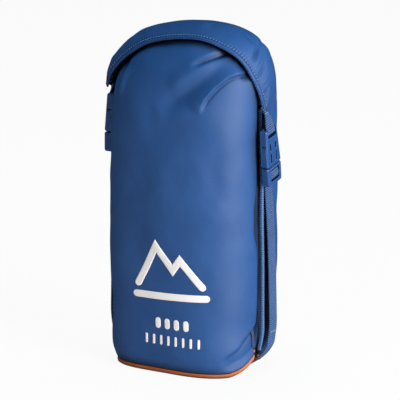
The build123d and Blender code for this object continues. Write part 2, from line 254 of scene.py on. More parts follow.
# ---------------------------------------------------------------- shape of the sack
def quarter_outline(power):
    """Quarter of the sack's plan from its middle to a side seam: a superellipse of that power,
    tabled by the share of its length. Gives x and y as shares of the half width and half depth."""
    angle = np.linspace(0, math.pi / 2, OUTLINE_POINTS)
    s, c = np.sin(angle), np.cos(angle)
    r = (np.abs(s / HALF_W) ** power + np.abs(c / HALF_D) ** power) ** (-1 / power)
    x, y = r * s, r * c
    length = np.concatenate([[0], np.cumsum(np.hypot(np.diff(x), np.diff(y)))])
    return length / length[-1], x / HALF_W, y / HALF_D, length[-1]


# Powers of the plan's corners, by (front -1 or back 1, left -1 or right 1): full at front left and
# back right, slack at the other two.
CORNER_POWERS = {(-1, -1): 3.7, (-1, 1): 2.55, (1, 1): 3.9, (1, -1): 2.7}
OUTLINES = {key: quarter_outline(power) for key, power in CORNER_POWERS.items()}


# Crown and lip of the rolled collar, left to right: the crown swings from front left to back right.
CROWN = along(
    [
        (-60.2, -14.5, 190.5), (-58.8, -13.5, 202.0), (-53.0, -10.0, 214.6), (-42.0, -5.0, 226.6),
        (-30.0, -2.5, 232.8), (-14.0, 0.0, 237.0), (2.0, 1.5, 238.8), (14.0, 2.6, 239.2),
        (26.0, 3.4, 238.2), (36.0, 3.9, 235.6), (43.4, 4.2, 231.8), (48.8, 4.4, 226.6),
        (52.6, 4.4, 219.8), (55.2, 4.0, 211.0), (57.2, 2.6, 198.0), (57.2, -0.8, 185.5),
    ],
    CURVE_POINTS,
)
LIP = along(
    [
        (-57.6, -17.0, 189.6), (-53.4, -17.6, 200.0), (-41.5, -18.2, 213.6), (-24.2, -19.0, 225.4),
        (-3.0, -20.0, 231.4), (16.5, -20.0, 233.0), (32.0, -19.0, 229.6), (44.5, -16.0, 222.0),
        (51.2, -12.0, 210.6), (56.0, -7.0, 195.8), (57.0, -3.5, 184.8),
    ],
    CURVE_POINTS,
)


def on_line(line, share):
    """Point on a line at a share of its length."""
    even = np.linspace(0, 1, len(line))
    return np.stack([np.interp(share, even, line[:, k]) for k in range(3)], -1)


def ceiling(x):
    """Height under the roll's lip over a point."""
    return np.interp(x, LIP[:, 0], LIP[:, 2])


def polyline_distance(x, z, points):
    """Signed distance from a line through the points, and how far along it, 0 to 1."""
    best = np.full(np.shape(x), 1e9)
    side = np.ones(np.shape(x))
    share = np.zeros(np.shape(x))
    points = np.asarray(points, float)
    lengths = np.linalg.norm(np.diff(points, axis=0), axis=1)
    before = np.concatenate([[0], np.cumsum(lengths)]) / lengths.sum()
    for k, (a, b) in enumerate(zip(points[:-1], points[1:])):
        dx, dz = b - a
        t = ((x - a[0]) * dx + (z - a[1]) * dz) / (dx * dx + dz * dz)
        tc = clip01(t)
        ex, ez = x - a[0] - tc * dx, z - a[1] - tc * dz
        d = np.hypot(ex, ez)
        near = d < best
        best = np.where(near, d, best)
        side = np.where(near, np.sign(dx * ez - dz * ex), side)
        share = np.where(near, before[k] + tc * (before[k + 1] - before[k]), share)
    return best * side, share


def fold(x, z, points, height, left, right, fade):
    """Fold along a line: a hump of that height, falling off over left and right millimetres,
    and fading over a share of its length at both ends. A height below 0 makes a hollow."""
    d, share = polyline_distance(x, z, points)
    width = np.where(d > 0, left, right)
    ends = smooth(share / fade) * smooth((1 - share) / fade)
    return height * bell(d / width) * ends


def folds(x, z, table):
    """Sum of a table of folds."""
    return sum(fold(x, z, *row) for row in table)


def welt(x, z, points, height, slope, groove):
    """Sharp crest along a line: an exponential ridge, long on one side and short on the other,
    with a narrow groove at the foot of its short side."""
    d, share = polyline_distance(x, z, points)
    ends = smooth(share / 0.10) * smooth((1 - share) / 0.30)
    ridge = np.where(d > 0, np.exp(-np.abs(d) / 0.9), np.exp(-np.abs(d) / slope))
    return (height * ridge - groove * bell((d - 1.9) / 1.1)) * ends


# Folds of the front panel, drawn up towards the right end of the roll: the line over (x, z), the
# height, how far it reaches left and right of the line, and the share over which its ends fade.
FRONT_FOLDS = (
    ([(51, 212), (46, 212.5), (40, 210.5), (33.5, 204), (27.5, 195.5), (23, 184)], 1.6, 2.4, 8.0, 0.16),
    ([(46, 219), (32, 213), (19, 203.5), (6, 194), (-8, 183)], -3.0, 8.0, 6.5, 0.3),
    ([(34, 222), (22, 216), (10, 207), (0, 198)], 1.5, 5.5, 6.0, 0.3),
    ([(42, 228), (32, 224.5), (23, 220), (14, 215.5)], -2.6, 2.3, 1.6, 0.3),
    ([(-38, 214), (-41, 206), (-43.5, 197), (-44, 187)], -3.0, 2.0, 2.4, 0.3),
    ([(-33, 211), (-37.5, 201), (-39.5, 186)], 1.6, 2.4, 3.4, 0.35),
    ([(26, 231), (37, 227.5), (44, 221.5), (48.5, 213), (50.5, 205)], -3.6, 3.0, 3.0, 0.2),
    ([(-28, 200), (-22, 180), (-20, 158)], 0.9, 9.0, 9.0, 0.4),
    ([(-2, 178), (-1, 150), (-4, 110), (-6, 60)], 1.9, 13.0, 13.0, 0.35),
    ([(33, 175), (35, 150), (37, 120)], -1.0, 6.0, 9.0, 0.4),
    ([(-48, 60), (-46, 40), (-42, 22)], -1.0, 4.0, 6.0, 0.35),
    ([(-30, 16), (-10, 12), (12, 14)], -0.7, 5.0, 3.0, 0.4),
)
FRONT_WELT = ([(50, 211.6), (45, 212), (39.6, 210), (33.6, 204), (28, 196), (24, 186)], 1.5, 5.0, 1.0)

BACK_FOLDS = (
    ([(-50, 205), (-30, 188), (-18, 165)], 2.0, 5.0, 8.0, 0.3),
    ([(46, 205), (26, 190), (14, 168)], -1.8, 7.0, 5.0, 0.3),
    ([(48, 190), (36, 176), (28, 150)], 1.6, 4.0, 8.0, 0.3),
    ([(-48, 38), (-40, 27), (-30, 19)], -2.2, 4.0, 4.0, 0.3),
)


def front_folds(x, y, z):
    """Folds of the front panel, and the flat facet that the base's front right corner pulls into it."""
    crease = 28.0 + 0.62 * (y + 6)
    below = smooth((crease - z) / 3.0 + 0.5) * smooth((x - 34) / 10) * smooth((y + 33) / 14)
    groove = bell((crease - z + 1) / 2.4) * smooth((x - 44) / 5) * smooth((y + 22) / 12)
    return folds(x, z, FRONT_FOLDS) + welt(x, z, *FRONT_WELT) - 3.2 * below - 2.4 * groove


def slack(x, z, seed):
    """Gentle unevenness of filled cloth: a few long sine waves, and shorter ones in patches."""
    rng = np.random.default_rng(seed)
    total = np.zeros(np.shape(x))

    def wave(shortest, longest):
        """Length, phase and running angle of one wave across the cloth."""
        length, turn = rng.uniform(shortest, longest), rng.uniform(0, math.pi)
        phase = rng.uniform(0, 2 * math.pi)
        return length, phase, (x * math.cos(turn) + z * math.sin(turn)) * 2 * math.pi / length

    for _ in range(9):
        length, phase, angle = wave(22, 60)
        total += np.sin(angle + phase) * length / 60
    for _ in range(10):
        length, phase, angle = wave(7, 17)
        patch = np.sin(x / 13 + phase) * np.sin(z / 19 + 2 * phase)
        total += np.sin(angle) * patch * length / 70
    return total * 0.16


def seam_y(z):
    """Where the side seams run, front to back, at each height."""
    return 3.0 - 2.6 * smooth((z - 70) / 90)


def base_rise(depth):
    """Height of the base's edge: low at front and back, drawn up to the side seams."""
    return RIM_H + (TIP_Z - RIM_H) * clip01(1 - np.abs(depth) / TIP_SPAN) ** 1.35


def strap_press(x, y, z):
    """How deep the webbing presses into the cloth round the base's corner."""
    beside = bell((y * np.sign(x) - WEB_Y) / 6.5)
    low = 1 - smooth((z - 16) / 16)
    return 3.8 * beside * low * smooth((np.abs(x) - 30) / 12)


def plan(side, across):
    """Plan of the sack: shares of the half width and half depth, left seam to right seam."""
    share = np.abs(across)
    tables = OUTLINES[(side, -1)], OUTLINES[(side, 1)]
    left, right = ([np.interp(share, table[0], table[k]) for k in (1, 2)] for table in tables)
    sx = np.where(across > 0, right[0], -left[0])
    return sx, np.where(across > 0, right[1], left[1])


def seam_valley(side, across, z):
    """How far the cloth turns in beside the side seams; pinched wider once at the front right."""
    gap = (1 - np.abs(across)) * OUTLINES[(side, 1)][3]
    pinch = bell((z - 107) / 16) * (across > 0) * (side < 0)
    low = 0.55 + 0.45 * smooth((z - 14) / 20)
    valley = 1.6 * bell(gap / 1.7) + 5.0 * bell((gap - 2.5) / 1.8)
    return valley * low + 3.6 * pinch * bell((gap - 5.4) / 3.2)


def tucked(side, sx, cy, above):
    """How far the cloth curves in at its foot: most at the back, least at the front right,
    where the corner even stands out a little."""
    right = smooth(sx / 0.8)
    if side > 0:
        return 8.5 * (1 - clip01(above / 19)) ** 2
    corner = right * smooth((sx - 0.3) / 0.5) * smooth(cy / 0.5)
    return (3.2 - 1.4 * right) * (1 - clip01(above / 13)) ** 2.2 - 0.5 * corner * (1 - smooth(above / 30))


def sack_plain(side, across, up):
    """The sack without its folds. side: -1 front, 1 back. across: -1 at the left seam, 1 at the right.
    up: 0 at the base's edge, 1 under the lip. The plan is a superellipse, rounded in at the base,
    and its depth shrinks to TOP_Y over the dome."""
    sx, cy = plan(side, across)
    low = base_rise(HALF_D * cy)
    x0 = HALF_W * sx
    top = ceiling(x0) - 1.6
    z = low + (top - low) * up
    dome = clip01((z - DOME_Z) / (top - DOME_Z))
    narrow = TAPER * (1 - smooth(z / DOME_Z))
    tuck = tucked(side, sx, cy, z - low)
    depth = TOP_Y + (HALF_D - narrow - TOP_Y) * (1 - dome**3.0) ** (1 / 2.3)
    x = x0 - sx * (narrow + tuck) - np.sign(sx) * seam_valley(side, across, z)
    x = x - np.sign(x) * strap_press(x, side * cy * depth, z)
    y = side * cy * (depth - tuck) + seam_y(z) * sx * np.abs(sx)
    return np.stack([x, y, z], -1)


def back_plain(across, up):
    """Back and top cloth without its folds. up: 0 to 1 from the base's edge up the back to the
    shoulder, 1 to 2 round the shoulder to the crown along a quarter superellipse, 2 to 3 down to
    the lip, ever steeper."""
    sx, cy = plan(1, across)
    low = base_rise(HALF_D * cy)
    z = low + (SHOULDER - low) * clip01(up)
    narrow = TAPER * (1 - smooth(z / DOME_Z))
    tuck = tucked(1, sx, cy, z - low)
    valley = seam_valley(1, across, z) * (1 - smooth((z - DOME_Z) / 26))
    x = HALF_W * sx - sx * (narrow + tuck) - np.sign(sx) * valley
    x = x - np.sign(x) * strap_press(x, cy * HALF_D, z)
    y = cy * (HALF_D - narrow - tuck) + seam_y(z) * sx * np.abs(sx)
    share = 0.5 + 0.5 * across
    crown, lip = on_line(CROWN, share), on_line(LIP, share)
    turn = clip01(up - 1) * math.pi / 2
    rise, fall = np.sin(turn) ** (2 / SHOULDER_POWER), np.cos(turn) ** (2 / SHOULDER_POWER)
    x = x + (crown[..., 0] - x) * (1 - fall**2) ** 0.8
    y = crown[..., 1] + (y - crown[..., 1]) * fall
    z = z + (crown[..., 2] - z) * rise
    front = clip01(up - 2)
    droop = front**1.75
    x = x + (lip[..., 0] - crown[..., 0]) * droop
    y = y + (lip[..., 1] - crown[..., 1]) * front
    z = z + (lip[..., 2] - crown[..., 2]) * droop
    return np.stack([x, y, z], -1)


def normal_of(surface, a, u):
    """Outward unit normal of a surface over two parameters, by small differences."""
    step = 1e-3
    da = surface(np.clip(a + step, -1, 1), u) - surface(np.clip(a - step, -1, 1), u)
    du = surface(a, u + step) - surface(a, u - step)
    normal = unit(np.cross(da, du))
    away = surface(a, u) - np.array([0.0, 0.0, 130.0])
    return normal * np.where((normal * away).sum(-1, keepdims=True) < 0, -1.0, 1.0)


def off_edges(across, up):
    """0 at the side seams and the base's edge, and 1 a little way in from them."""
    return smooth((1 - np.abs(across)) / 0.07) * smooth(up / 0.03)


def front_skin(across, up):
    """Front cloth with its folds, pushed along the plain surface's normal."""
    plain = lambda a, u: sack_plain(-1, a, np.clip(u, 0, 1))
    here = plain(across, up)
    x, y, z = here[..., 0], here[..., 1], here[..., 2]
    push = slack(x, z, FRONT_SEED) + front_folds(x, y, z)
    push = push * off_edges(across, up)
    return here + normal_of(plain, across, up) * push[..., None]


def back_skin(across, up, sink=0.0):
    """Back and top cloth with its folds, sunk by a depth along its normal."""
    plain = lambda a, u: back_plain(a, np.clip(u, 0, 3))
    here = plain(across, up)
    x, z = here[..., 0], here[..., 2]
    push = slack(x, z, BACK_SEED) * (1 - 0.5 * smooth(up - 1))
    wall = 1 - smooth((up - 1.0) / 0.5)
    push = push + wall * folds(x, z, BACK_FOLDS)
    push = push + hood_folds(across, up)
    push = push * off_edges(across, up) + lip_pucker(across, up) - sink
    return here + normal_of(plain, across, up) * push[..., None]


# Small folds of the roll's cloth, drawn to its right end: the line over (across, up), the height
# and the width as a share of the roll's length.
HOOD_FOLDS = (
    ([(0.30, 1.96), (0.38, 2.06), (0.50, 2.22)], -1.3, 0.010),
    ([(0.42, 1.5), (0.52, 2.1), (0.60, 2.75)], -1.3, 0.012),
    ([(0.50, 1.6), (0.57, 2.1), (0.65, 2.8)], 1.1, 0.016),
    ([(0.60, 1.7), (0.67, 2.2), (0.73, 2.9)], -1.1, 0.014),
    ([(0.70, 1.5), (0.75, 2.0), (0.79, 2.8)], 0.8, 0.018),
    ([(0.80, 1.6), (0.84, 2.1), (0.86, 2.8)], -1.2, 0.014),
    ([(-0.86, 1.5), (-0.80, 2.0), (-0.72, 2.8)], 0.8, 0.03),
    ([(-0.60, 1.7), (-0.52, 2.2), (-0.40, 2.7)], -0.7, 0.03),
    ([(-0.20, 1.5), (-0.05, 1.9), (0.15, 2.2)], 0.7, 0.045),
    ([(0.05, 2.2), (0.20, 2.5), (0.36, 2.7)], -0.6, 0.035),
)
UP_TO_ACROSS = 0.12


def hood_folds(across, up):
    """Folds of the roll's cloth, calmest on its crown. Up is scaled so that a fold is equally wide
    in both directions."""
    over = smooth((up - 1.15) / 0.4) * (1 - 0.65 * bell((up - 1.95) / 0.24))
    push = 0.0
    for line, height, wide in HOOD_FOLDS:
        shaped = [(a, u * UP_TO_ACROSS) for a, u in line]
        push = push + over * fold(across, up * UP_TO_ACROSS, shaped, height, wide, wide, 0.3)
    return push


def lip_reach(share):
    """Length of the roll's cloth from crown to lip."""
    return np.linalg.norm(on_line(CROWN, share) - on_line(LIP, share), axis=-1)


def lip_pucker(across, up):
    """Dents that the stitches pull into the lip."""
    share = 0.5 + 0.5 * across
    gap = (3 - up) * lip_reach(share) - STITCH_IN
    wave = 0.5 + 0.5 * np.cos(share * 2 * math.pi * STITCHES)
    return (-0.5 * bell(gap / 1.0) * wave - 0.25 * bell((gap - 1.2) / 1.6) * wave) * (up > 2)


def spaced(low, high, count, near, width, extra):
    """Values from low to high, crowded round one place."""
    t = np.linspace(low, high, 2001)
    crowd = np.cumsum(1 + extra * bell((t - near) / width))
    return np.interp(np.linspace(crowd[0], crowd[-1], count), crowd, t)


def front_cloth():
    """Front panel over a grid of across and up, finest at its creases."""
    columns = spaced(-1, 1, CLOTH_COLUMNS, 0.62, 0.36, 2.2)
    across, up = np.meshgrid(columns, spaced(0, 1, 236, 0.9, 0.12, 2.2))
    points = front_skin(across, up)
    uvs = np.stack([across * OUTLINES[(-1, 1)][3], points[..., 2]], -1)
    piece = grid_piece("front_cloth", points, uvs)
    solid(piece, SHELL_THICK)
    return piece


def back_cloth():
    """Back panel, from the base's edge to just under the roll's cloth, where it sinks out of sight."""
    rows = np.concatenate([np.linspace(0, 1, 150), np.linspace(1, 1.5, 40)[1:]])
    across, up = np.meshgrid(np.linspace(-1, 1, CLOTH_COLUMNS), rows)
    points = back_skin(across, up, 1.5 * smooth((up - 1.25) / 0.2))
    uvs = np.stack([across * OUTLINES[(1, 1)][3], points[..., 2]], -1)
    piece = grid_piece("back_cloth", points, uvs, flip=True)
    solid(piece, SHELL_THICK)
    return piece


def hood_cloth():
    """Outer turn of the roll: from under the back panel's top edge, over the crown, to the lip."""
    rows = np.concatenate([np.linspace(1.05, 2, 50), np.linspace(2, 3, 66)[1:]])
    across, up = np.meshgrid(np.linspace(-1, 1, ROLL_COLUMNS), rows)
    points = back_skin(across, up, 1.5 * (1 - smooth((up - 1.15) / 0.2)))
    uvs = np.stack([across * 105.0, up * 32.0], -1)
    piece = grid_piece("hood_cloth", points, uvs, flip=True)
    solid(piece, ROLL_THICK)
    return piece


def hood_layer(name, over, sinks):
    """Closed layer under the roll's cloth, between two depths and from one parameter up to another."""
    across, up = np.meshgrid(np.linspace(-0.965, 0.965, 161), np.linspace(*over, 50))
    outer, inner = (back_skin(across, up, sink) for sink in sinks)
    loop = np.concatenate([outer, inner[::-1]])
    piece = grid_piece(name, loop, loop[..., [0, 2]], wrap_rows=True)
    cap_ends(piece, *loop.shape[:2])
    return piece


def cap_ends(piece, rows, cols):
    """Close the two open ends of a tube made over a grid whose rows run round it."""
    with edited(piece) as work:
        work.verts.ensure_lookup_table()
        for column in (0, cols - 1):
            ring = [work.verts[r * cols + column] for r in range(rows)]
            for r in range(rows // 2 - 1):
                work.faces.new((ring[r], ring[r + 1], ring[rows - 2 - r], ring[rows - 1 - r]))
        bmesh.ops.recalc_face_normals(work, faces=work.faces)
    shade_smooth(piece.data)


def solid(piece, thick, offset=-1):
    """Give a cloth surface its thickness, inwards."""
    wall = piece.modifiers.new("thickness", "SOLIDIFY")
    wall.thickness = thick * MM
    wall.offset = offset
    wall.use_even_offset = False


def base_ring(count):
    """Lower edge of the panels, once round."""
    a = np.linspace(-1, 1, count)
    return np.concatenate([front_skin(a, a * 0)[:-1], back_skin(a[::-1], a * 0)[:-1]])


# Rim of the base under the panels' edge: how far each ring lies below that edge and outside it.
RIM_RINGS = ((-1.2, -0.9), (-0.4, -0.25), (0.3, 0.25), (1.4, 0.5), (2.4, 0.2), (3.0, -0.7), (RIM_H, -1.8))


def base_cloth():
    """Orange base: a rim that shows under the panels, then the underside, which sinks to the ground.
    A ring of points round the edge, carried inwards to the middle."""
    ring = base_ring(181)
    outward = unit(ring * [1, 1, 0])
    rings = np.array([ring - [0, 0, drop] + outward * out for drop, out in RIM_RINGS])
    share = np.linspace(0, 1, 34)[1:, None, None]
    inward = rings[-1:] * (1 - share)
    height = rings[-1:, :, 2:3] * clip01(1 - share / 0.5) ** 2.2
    inward = np.concatenate([inward[..., :2], height], -1)
    points = clear_of_webbing(np.concatenate([rings, inward]))
    piece = grid_piece("base_cloth", points, points[..., :2], flip=True, wrap_cols=True)
    solid(piece, SHELL_THICK)
    return piece


def corner_height(reach):
    """Height of the webbing's middle line round the base's corner, over how far out it is:
    a superellipse nearer to a straight cut than a circle is."""
    share = clip01(reach / CORNER_R)
    return WEB_THICK / 2 + CORNER_R * (1 - (1 - share**CORNER_POWER) ** (1 / CORNER_POWER))


def clear_of_webbing(points):
    """Lift cloth off the webbing that passes under the base and round its corners."""
    x, y, z = points[..., 0], points[..., 1], points[..., 2]
    way_y = np.clip(x / CORNER_X, -1, 1) * WEB_Y
    near = 1 - smooth((np.abs(y - way_y) - WEB_W / 2) / 3.5)
    floor = corner_height(np.minimum(np.abs(x) - CORNER_X, 0.93 * CORNER_R)) + WEB_THICK + 0.1
    return np.stack([x, y, z + (np.maximum(z, floor) - z) * near], -1)


# ---------------------------------------------------------------- rolled collar
def lip_frame(share, inset):
    """Places a little way in from the lip, with the directions along it, up the cloth and out of it."""
    across = share * 2 - 1
    up = 3 - inset / lip_reach(share)
    at = back_skin(across, up)
    forward = unit(back_skin(across + 2e-3, up) - back_skin(across - 2e-3, up))
    inward = unit(back_skin(across, up - 0.02) - at)
    out = unit(np.cross(forward, inward))
    away = at - np.array([0.0, 0.0, 170.0])
    out = out * np.where((out * away).sum(-1, keepdims=True) < 0, -1.0, 1.0)
    return at, forward, unit(np.cross(out, forward)), out


def lip_hem():
    """Turned hem under the lip: a flat band that follows it."""
    share = np.linspace(0.012, 0.985, 420)
    at, _, inward, out = lip_frame(share, 1.7)
    return tube_piece("lip_hem", at - out * 1.35, inward, out, flat_band(*HEM_BAND))


def hem_stitches():
    """Stitches of the lip, a little in from its edge."""
    share = (np.arange(2, STITCHES - 1) + 0.5) / STITCHES
    at, forward, _, out = lip_frame(share, STITCH_IN)
    return stitch_row("hem_stitches", at + out * 0.1, forward, out, *HEM_STITCH)


def merge_and_fix(piece):
    """Merge doubled points, such as a closed end's, and turn the faces outwards."""
    with edited(piece) as work:
        bmesh.ops.remove_doubles(work, verts=work.verts, dist=1e-6)
        bmesh.ops.recalc_face_normals(work, faces=work.faces)


# ---------------------------------------------------------------- stitches
def stitch_row(name, places, along_dirs, out_dirs, length, width, height):
    """Row of raised stitches: one low capsule, repeated at each place."""
    turn = np.linspace(0, math.pi, 5)
    spine = np.array([-0.5, -0.36, 0.0, 0.36, 0.5])
    swell = np.array([0.15, 0.8, 1.0, 0.8, 0.15])
    across = np.cos(turn) * width / 2
    rise = np.sin(turn) * height
    side_dirs = unit(np.cross(along_dirs, out_dirs))
    shape = (
        along_dirs[:, None, None, :] * (spine * length)[None, :, None, None]
        + side_dirs[:, None, None, :] * (swell[:, None] * across[None, :])[None, ..., None]
        + out_dirs[:, None, None, :] * (swell[:, None] * rise[None, :] - 0.1)[None, ..., None]
    )
    points = places[:, None, None, :] + shape
    count, rows, cols = points.shape[:3]
    one = grid_faces(rows, cols)
    closing = np.stack([np.arange(rows - 1) * cols, np.arange(1, rows) * cols], 1)
    under = np.stack([closing[:, 0], closing[:, 1], closing[:, 1] + cols - 1, closing[:, 0] + cols - 1], 1)
    one = np.concatenate([one, under])
    faces = (one[None] + (np.arange(count) * rows * cols)[:, None, None]).reshape(-1, 4)
    piece = new_piece(name, points, faces.tolist())
    fix_normals(piece)
    return piece


# ---------------------------------------------------------------- side seams
def seam_path(sign, count=240):
    """Line of a side seam's bound edge, foot to top, in the valley between the panels."""
    top = node_mm("right_seam_binding")[1][2]
    z = np.linspace(TIP_Z - 1.0, top - 1.0, count)
    foot = 1 - clip01((z - TIP_Z) / 16)
    x = 52.1 - 2.6 * foot**1.6 + 0.3 * np.sin(z / 17)
    y = seam_y(z) + 0.25 * np.sin(z / 11 + sign)
    return np.stack([sign * x, sign * y, z], 1)


def seam_fin(sign, name):
    """Bound edge of a side seam: a folded tape, standing out as a fin and puckered by its stitches."""
    path = seam_path(sign)
    out = np.broadcast_to([sign, 0.0, 0.0], path.shape)
    along_y = np.broadcast_to([0.0, 1.0, 0.0], path.shape)
    turn = np.linspace(0, 2 * math.pi, 20, endpoint=False)
    bar = np.stack([1.15 * np.sign(np.cos(turn)) * np.abs(np.cos(turn)) ** 0.6, 1.35 * np.sin(turn)], 1)
    pucker = 1 + 0.09 * np.sin(path[:, 2] * 2 * math.pi / SEAM_PITCH)
    return tube_piece(name, path, along_y * pucker[:, None], out, bar)


def seam_stitches(sign, name):
    """Stitches on both faces of a side seam's bound edge."""
    path = seam_path(sign, 400)
    z = np.arange(path[0, 2] + 2, path[-1, 2] - 2, SEAM_PITCH)
    at = np.stack([np.interp(z, path[:, 2], path[:, k]) for k in (0, 1, 2)], 1)
    places = np.concatenate([at + np.array([sign * 0.6, face * 0.75, 0]) for face in (-1, 1)])
    out = np.repeat([[0.0, -1.0, 0.0], [0.0, 1.0, 0.0]], len(at), 0)
    up = np.broadcast_to([0.0, 0.0, 1.0], places.shape)
    return stitch_row(name, places, up, out, *SEAM_STITCH)


# ---------------------------------------------------------------- webbing
def webbing_path():
    """Middle line of the long webbing: down the left side, round, under the base on the skew, and up.
    The left half is the right one turned half a turn, and its end lies a little higher."""
    turn = np.sin(np.radians(np.linspace(0, 90, 14)))
    reach = CORNER_R * turn
    corner = np.stack([CORNER_X + reach, WEB_Y + 1.5 * turn**2, corner_height(reach)], 1)
    under = [(12.0, 3.3, 0.62), (24.0, 6.7, 0.62)]
    rise = [
        (55.6, 11.4, 30.0), (55.3, 11.8, 44.0), (54.9, 11.6, 66.0), (54.6, 10.6, 90.0),
        (54.5, 8.6, 112.0), (54.4, 6.6, 130.0), (54.3, 4.4, 146.0),
    ]
    half = np.concatenate([under, corner[:-1], rise])
    left = half * [-1, -1, 1]
    left[-1, 2] += 6
    return along(np.concatenate([left[::-1], half]), 520)


def webbing_frame():
    """Middle line of the long webbing, with the directions across it and off its face."""
    path = webbing_path()
    slope = unit(np.gradient(path, axis=0))
    out = unit(np.cross(slope, np.array([0.0, 1.0, 0.0])))
    return path, unit(np.cross(out, slope)), out


def long_webbing():
    """One length of ribbed webbing from buckle to buckle."""
    return tube_piece("long_webbing", *webbing_frame(), flat_band(WEB_W, WEB_THICK))


def buckle_axes(side):
    """Origin and directions (across, up, out) of a buckle, read from its release and squeeze joints."""
    sign = 1 if side == "right" else -1
    joint = next(j for j in frame["joints"] if j["name"] == f"{side}_buckle_release")
    up = -np.array(joint["axis"], float)
    out = np.array([sign, 0.0, 0.0])
    across = np.cross(up, out)
    squeeze = [j for j in frame["joints"] if j["name"].startswith(side) and j["name"].endswith("squeeze")]
    roots = np.array([j["pos_m"] for j in squeeze], float) / MM
    origin = roots.mean(0) - up * 1.0
    return origin, across, up, out


def buckle_line(side, line, count, lean=0.0):
    """Line of (out, up) points on a buckle, with the directions across it and off its face;
    lean carries its far end forward."""
    origin, across, up, out = buckle_axes(side)
    flat = along(line, count)
    swing = lean * smooth((np.linspace(0, 1, count) - 0.5) / 0.5)
    path = origin + flat[:, :1] * out + flat[:, 1:] * up + swing[:, None] * np.array([0.0, -1.0, 0.0])
    face = unit(np.cross(unit(np.gradient(path, axis=0)), across))
    return path, np.broadcast_to(across, path.shape), face


def plug_loop(side):
    """Webbing over the plug's bar, its ends passing back under the frame."""
    line = [
        (-2.3, -11.5), (-2.2, -8.6), (-2.1, -5.4), (-1.3, -3.2), (0.3, -2.75),
        (1.7, -3.6), (2.2, -5.6), (2.1, -7.6), (1.2, -9.3), (-0.6, -9.6),
    ]
    path, across, face = buckle_line(side, line, 70)
    return tube_piece(f"{side}_plug_loop", path, across, face, flat_band(WEB_W, LOOP_THICK))


# Where each short webbing ends under the roll: its height, how far it leans forward and how far in.
ROLL_END = {"left": (191.0, 4.2, -1.0), "right": (188.5, 0.4, -3.2)}


def roll_end_line(side):
    """Line of the short webbing: round the socket's bar and up under the roll's end, folded narrow
    as it goes."""
    height, lean, tuck = ROLL_END[side]
    top = height - buckle_axes(side)[0][2]
    line = [
        (-0.8, 26.9), (-1.9, 25.6), (-2.0, 23.8), (-1.0, 22.5), (0.6, 22.3),
        (1.9, 23.4), (2.0, 25.4), (1.4, 27.6), (0.2, 0.5 * (28 + top)), (tuck, top),
    ]
    count = 90
    path, across, face = buckle_line(side, line, count, lean)
    narrow = 1 - 0.68 * smooth((np.linspace(0, 1, count) - 0.50) / 0.40)
    return path, across * narrow[:, None], face


def roll_end_strap(side):
    """Short webbing from the socket's bar to the roll's end."""
    return tube_piece(f"{side}_roll_end_strap", *roll_end_line(side), flat_band(WEB_W, LOOP_THICK))


def roll_end_tacks():
    """Bartacks on the short webbing, just below both ends of the roll."""
    tacks = []
    for side in ("left", "right"):
        path, across, face = roll_end_line(side)
        out = buckle_axes(side)[3]
        k = int(0.8 * len(path))
        skin = face[k] * np.sign(face[k] @ out)
        up = unit(path[k + 1] - path[k - 1])
        tacks.append(bartack("tack", path[k] + skin * 0.6, unit(across[k]), up, skin, *ROLL_TACK))
    return join("roll_end_tacks", tacks)


def bartack(name, centre, across, up, out, length, tall):
    """Bar of dense zigzag thread: 22 strokes there and back."""
    t = np.linspace(0, 1, 2 * 22 + 1)
    zig = np.where(np.arange(len(t)) % 2 == 0, -0.5, 0.5)
    path = centre + across * ((t - 0.5) * length)[:, None] + up * (zig * tall)[:, None]
    slope = unit(np.gradient(path, axis=0))
    outs = np.broadcast_to(out, path.shape)
    turn = np.linspace(0, 2 * math.pi, 6, endpoint=False)
    thread_ring = np.stack([np.cos(turn), np.sin(turn)], 1) * 0.24
    return tube_piece(name, path, unit(np.cross(slope, outs)), outs, thread_ring)


def webbing_tacks():
    """Bartacks that hold the webbing above the base's corners, on its outer face."""
    low, high = node_mm("strap_bartacks")
    path, across, out = webbing_frame()
    tacks = []
    for sign in (-1, 1):
        side = np.where(path[:, 0] * sign > 0, np.abs(path[:, 2] - (low[2] + high[2]) / 2), 1e9)
        k = int(side.argmin())
        skin = out[k] * np.sign(out[k, 0] * sign)
        up = unit(np.cross(skin, across[k]))
        tacks.append(bartack("tack", path[k] + skin * 0.75, across[k], up, skin, *WEB_TACK))
    return join("webbing_tacks", tacks)


def base_seam_tape():
    """Tape over the base's seam: a narrow band inside the panels' lower edge, all the way round."""
    ring = base_ring(220)
    path = ring * [0.965, 0.965, 1] + [0, 0, 1.2]
    after, before = np.roll(path, -1, 0), np.roll(path, 1, 0)
    forward = unit(after - before)
    outward = unit(path * [1, 1, 0])
    upward = unit(np.cross(forward, outward))
    upward = upward * np.where(upward[:, 2:3] < 0, -1.0, 1.0)
    return tube_piece("base_seam_tape", path, upward, outward, flat_band(*BASE_TAPE), closed=True)


def join(name, pieces):
    """Join pieces into one object."""
    bpy.ops.object.select_all(action="DESELECT")
    for piece in pieces:
        piece.select_set(True)
    bpy.context.view_layer.objects.active = pieces[0]
    bpy.ops.object.join()
    pieces[0].name = name
    pieces[0].data.name = name
    return pieces[0]


